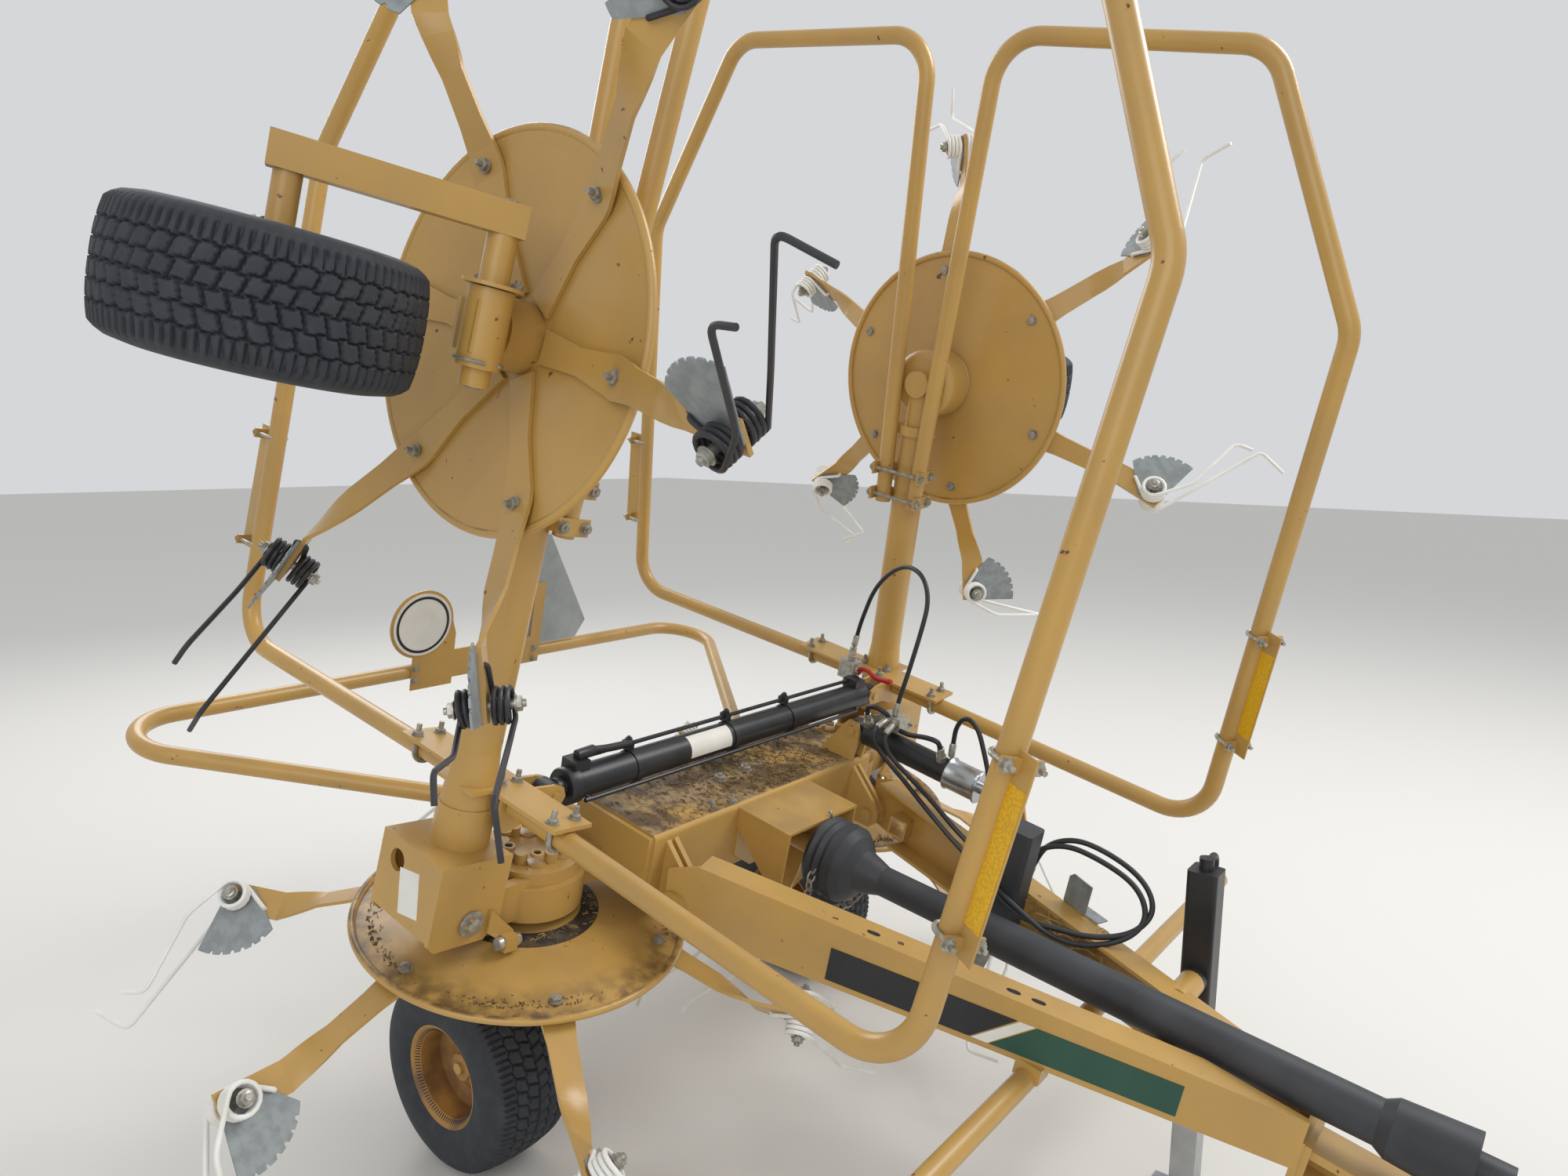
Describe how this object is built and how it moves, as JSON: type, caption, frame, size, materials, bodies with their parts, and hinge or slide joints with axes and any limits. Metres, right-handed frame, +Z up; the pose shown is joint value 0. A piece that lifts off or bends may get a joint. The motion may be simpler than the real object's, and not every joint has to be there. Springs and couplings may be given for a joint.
{
  "type": "hay tedder",
  "caption": "Trailed rotary hay tedder parked on two wheels and a jack, its folding wings upright, with tined rotors, tube guards and a tilting drawbar.",
  "frame": {"origin": "on the floor, under the middle of the parked machine's bounding box", "axes": "+X forward along the drawbar, +Y to the left, +Z up"},
  "size_m": [2.9092, 2.785, 2.7217],
  "materials": {
    "yellow_paint": "ochre gloss paint, chipped and dusty",
    "tine_white": "white paint worn to steel at the tips",
    "tine_black": "black paint",
    "arm_steel": "ochre paint",
    "tyre": "weathered black",
    "black_plastic": "scuffed black",
    "black_paint": "black paint",
    "bare_steel": "plated steel",
    "sign_white": "white, blank",
    "sign_grey": "bare sheet, blank"
  },
  "bodies": {
    "frame": {"main_beam": "yellow_paint", "shaft_box": "yellow_paint", "rear_rail": "yellow_paint", "sign_bracket": "yellow_paint", "speed_sign": "sign_white", "slow_sign": "sign_grey", "gearbox_inner_left": "yellow_paint", "gearbox_inner_right": "yellow_paint", "wheel_leg_left_inner": "yellow_paint", "wheel_leg_right_inner": "yellow_paint"},
    "drawbar": {"drawbar": "yellow_paint", "hitch": "yellow_paint", "manual_box": "black_plastic", "jack_tube": "black_paint"},
    "jack_leg": {"jack_leg": "bare_steel"},
    "drive_shaft": {"drive_shaft": "black_plastic"},
    "tilt_barrel": {"tilt_barrel": "black_paint"},
    "tilt_rod": {"tilt_rod": "bare_steel"},
    "fold_barrel": {"fold_barrel": "black_paint"},
    "fold_rod": {"fold_rod": "bare_steel"},
    "wing_left": {"wing_arm_left": "yellow_paint", "gearbox_outer_left": "yellow_paint", "guard_front_left": "yellow_paint", "guard_rear_left": "yellow_paint", "wheel_leg_left_outer": "yellow_paint"},
    "wing_right": {"wing_arm_right": "yellow_paint", "gearbox_outer_right": "yellow_paint", "guard_front_right": "yellow_paint", "guard_rear_right": "yellow_paint", "wheel_leg_right_outer": "yellow_paint"},
    "rotor_left_inner": {"disc_left_inner": "yellow_paint", "arms_left_inner": "arm_steel", "tines_left_inner": "tine_white"},
    "wheel_left_inner": {"tyre_left_inner": "tyre", "rim_left_inner": "yellow_paint"},
    "rotor_right_inner": {"disc_right_inner": "yellow_paint", "arms_right_inner": "arm_steel", "tines_right_inner": "tine_white"},
    "wheel_right_inner": {"tyre_right_inner": "tyre", "rim_right_inner": "yellow_paint"},
    "rotor_left_outer": {"disc_left_outer": "yellow_paint", "arms_left_outer": "arm_steel", "tines_left_outer": "tine_white"},
    "wheel_left_outer": {"tyre_left_outer": "tyre", "rim_left_outer": "yellow_paint"},
    "rotor_right_outer": {"disc_right_outer": "yellow_paint", "arms_right_outer": "arm_steel", "tines_right_outer": "tine_black"},
    "wheel_right_outer": {"tyre_right_outer": "tyre", "rim_right_outer": "yellow_paint"}
  },
  "joints": [
    {"name": "drawbar_tilt", "type": "hinge", "parent": "frame", "child": "drawbar", "pos_m": [-0.13543, -0.0154, 0.6368], "axis": [0, 1, 0], "range_deg": [-4, 8]},
    {"name": "jack_slide", "type": "slide", "parent": "drawbar", "child": "jack_leg", "axis": [0, 0, 1], "range_m": [0, 0.223]},
    {"name": "shaft_swing", "type": "hinge", "parent": "frame", "child": "drive_shaft", "pos_m": [-0.04364, -0.0154, 0.66053], "axis": [0, 1, 0], "range_deg": [-4.1, 8.1]},
    {"name": "tilt_barrel_swing", "type": "hinge", "parent": "frame", "child": "tilt_barrel", "pos_m": [-0.1812, 0.3296, 0.85783], "axis": [0, 1, 0], "range_deg": [-3.2, 6.4]},
    {"name": "tilt_rod_slide", "type": "slide", "parent": "tilt_barrel", "child": "tilt_rod", "axis": [0.9741, 0, -0.226], "range_m": [-0.0145, 0.029]},
    {"name": "wing_left_fold", "type": "hinge", "parent": "frame", "child": "wing_left", "pos_m": [-0.40319, 0.7546, 0.69989], "axis": [-0.9789, 0, 0.2045], "range_deg": [0, 96.7]},
    {"name": "wing_right_fold", "type": "hinge", "parent": "frame", "child": "wing_right", "pos_m": [-0.40319, -0.7854, 0.69989], "axis": [0.9789, 0, -0.2045], "range_deg": [0, 96.7]},
    {"name": "fold_barrel_swing", "type": "hinge", "parent": "wing_left", "child": "fold_barrel", "pos_m": [-0.31232, 0.5646, 0.89033], "axis": [0.9789, 0, -0.2045], "range_deg": [0, 96.7]},
    {"name": "fold_rod_slide", "type": "slide", "parent": "fold_barrel", "child": "fold_rod", "axis": [0, -1, 0], "range_m": [0, 0.832]},
    {"name": "rotor_right_inner_spin", "type": "hinge", "parent": "frame", "child": "rotor_right_inner", "pos_m": [-0.42772, -0.5689, 0.58243], "axis": [0.2045, 0, 0.9789], "continuous": true},
    {"name": "rotor_left_inner_spin", "type": "hinge", "parent": "frame", "child": "rotor_left_inner", "pos_m": [-0.42772, 0.5381, 0.58243], "axis": [0.2045, 0, 0.9789], "continuous": true},
    {"name": "rotor_right_outer_spin", "type": "hinge", "parent": "wing_right", "child": "rotor_right_outer", "pos_m": [-0.17854, -0.77718, 1.77522], "axis": [-0.0239, 0.9932, -0.1142], "continuous": true},
    {"name": "rotor_left_outer_spin", "type": "hinge", "parent": "wing_left", "child": "rotor_left_outer", "pos_m": [-0.17854, 0.74638, 1.77522], "axis": [-0.0239, -0.9932, -0.1142], "continuous": true},
    {"name": "wheel_left_inner_spin", "type": "hinge", "parent": "frame", "child": "wheel_left_inner", "pos_m": [-0.55452, 0.5731, 0.22], "axis": [0, 1, 0], "continuous": true},
    {"name": "wheel_right_inner_spin", "type": "hinge", "parent": "frame", "child": "wheel_right_inner", "pos_m": [-0.55452, -0.6039, 0.22], "axis": [0, 1, 0], "continuous": true},
    {"name": "wheel_left_outer_spin", "type": "hinge", "parent": "wing_left", "child": "wheel_left_outer", "pos_m": [-0.22551, 1.12856, 1.79489], "axis": [0.2031, -0.1167, 0.9722], "continuous": true},
    {"name": "wheel_right_outer_spin", "type": "hinge", "parent": "wing_right", "child": "wheel_right_outer", "pos_m": [-0.22551, -1.15936, 1.79489], "axis": [-0.2031, -0.1167, -0.9722], "continuous": true}
  ],
  "couplings": [
    {"joint": "shaft_swing", "follows": "drawbar_tilt", "ratio": 1},
    {"joint": "tilt_barrel_swing", "follows": "drawbar_tilt", "ratio": 0.78},
    {"joint": "tilt_rod_slide", "follows": "drawbar_tilt", "m_per_rad": 0.203},
    {"joint": "wing_right_fold", "follows": "wing_left_fold", "ratio": 1},
    {"joint": "fold_barrel_swing", "follows": "wing_left_fold", "ratio": 1},
    {"joint": "fold_rod_slide", "follows": "wing_left_fold", "m_per_rad": 0.49269},
    {"joint": "rotor_left_inner_spin", "follows": "rotor_right_inner_spin", "ratio": -1},
    {"joint": "rotor_right_outer_spin", "follows": "rotor_right_inner_spin", "ratio": -1},
    {"joint": "rotor_left_outer_spin", "follows": "rotor_right_inner_spin", "ratio": 1}
  ]
}
